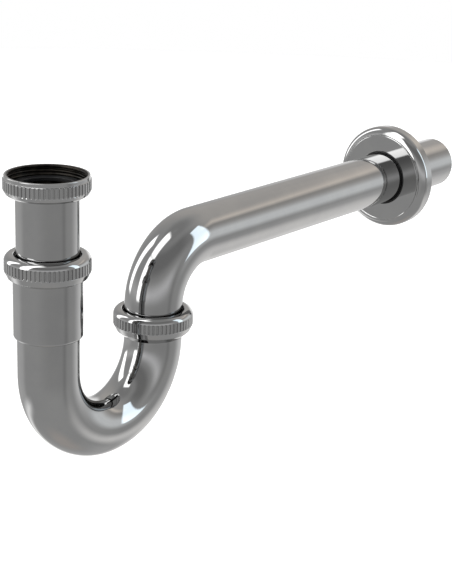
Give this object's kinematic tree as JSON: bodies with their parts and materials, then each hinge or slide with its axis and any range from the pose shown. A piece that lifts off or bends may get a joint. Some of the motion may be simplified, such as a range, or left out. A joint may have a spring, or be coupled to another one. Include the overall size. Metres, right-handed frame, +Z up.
{
  "type": "p trap",
  "caption": "Chromed tubular washbasin P trap: union nut and tailpiece in a deep socket, U-bend that swivels under a slip nut, elbow with wall tube, and a round wall escutcheon.",
  "frame": {"origin": "centre of the union nut's mouth, at the thread that screws on the basin waste", "axes": "+Z up the inlet leg towards the basin, +X along the wall tube towards the wall, +Y across"},
  "size_m": [0.387, 0.0656, 0.1612],
  "materials": {
    "chrome": "polished chrome plate on brass",
    "rubber": "black moulded rubber, matt",
    "plastic": "natural polyethylene, slightly waxy"
  },
  "bodies": {
    "outlet": {"outlet_bend_tube": "chrome", "outlet_collar": "chrome"},
    "wall_ring": {"escutcheon_ring": "rubber"},
    "wall_cover": {"escutcheon": "chrome"},
    "u_bend": {"u_bend_tube": "chrome", "inlet_socket": "chrome", "outlet_ferrule": "chrome", "inlet_cone_seal": "rubber", "outlet_gasket": "rubber"},
    "outlet_washer": {"outlet_washer": "plastic"},
    "outlet_nut": {"outlet_nut": "chrome"},
    "tailpiece": {"tailpiece": "chrome", "tailpiece_collar": "chrome", "inlet_gasket": "rubber"},
    "union_washer": {"union_washer": "plastic"},
    "union_nut": {"union_nut": "chrome"},
    "inlet_slip_ring": {"inlet_slip_ring": "plastic"},
    "inlet_slip_nut": {"inlet_slip_nut": "chrome"}
  },
  "joints": [
    {"name": "escutcheon_slide", "type": "slide", "parent": "outlet", "child": "wall_ring", "axis": [-1, 0, 0], "range_m": [0, 0.11]},
    {"name": "escutcheon_turn", "type": "hinge", "parent": "wall_ring", "child": "wall_cover", "pos_m": [0.302, 0, -0.0547], "axis": [1, 0, 0], "continuous": true},
    {"name": "u_bend_swivel", "type": "hinge", "parent": "outlet", "child": "u_bend", "pos_m": [0.08, 0, -0.1], "axis": [0, 0, 1], "range_deg": [-140, 140]},
    {"name": "outlet_washer_slide", "type": "slide", "parent": "u_bend", "child": "outlet_washer", "axis": [0, 0, 1], "range_m": [0, 0.0046]},
    {"name": "outlet_nut_turn", "type": "hinge", "parent": "outlet_washer", "child": "outlet_nut", "pos_m": [0.08, 0, -0.095], "axis": [0, 0, 1], "range_deg": [0, 1080]},
    {"name": "tailpiece_slide", "type": "slide", "parent": "u_bend", "child": "tailpiece", "axis": [0, 0, 1], "range_m": [-0.008, 0.019]},
    {"name": "union_washer_slide", "type": "slide", "parent": "tailpiece", "child": "union_washer", "axis": [0, 0, -1], "range_m": [0, 0.015]},
    {"name": "union_nut_turn", "type": "hinge", "parent": "union_washer", "child": "union_nut", "pos_m": [0, 0, -0.005], "axis": [0, 0, 1], "continuous": true},
    {"name": "inlet_ring_slide", "type": "slide", "parent": "u_bend", "child": "inlet_slip_ring", "axis": [0, 0, 1], "range_m": [0, 0.0061]},
    {"name": "inlet_nut_turn", "type": "hinge", "parent": "inlet_slip_ring", "child": "inlet_slip_nut", "pos_m": [0, 0, -0.046], "axis": [0, 0, 1], "range_deg": [0, 1440]}
  ],
  "couplings": [
    {"joint": "outlet_washer_slide", "follows": "outlet_nut_turn", "m_per_rad": 0.00023873},
    {"joint": "inlet_ring_slide", "follows": "inlet_nut_turn", "m_per_rad": 0.00023873}
  ]
}
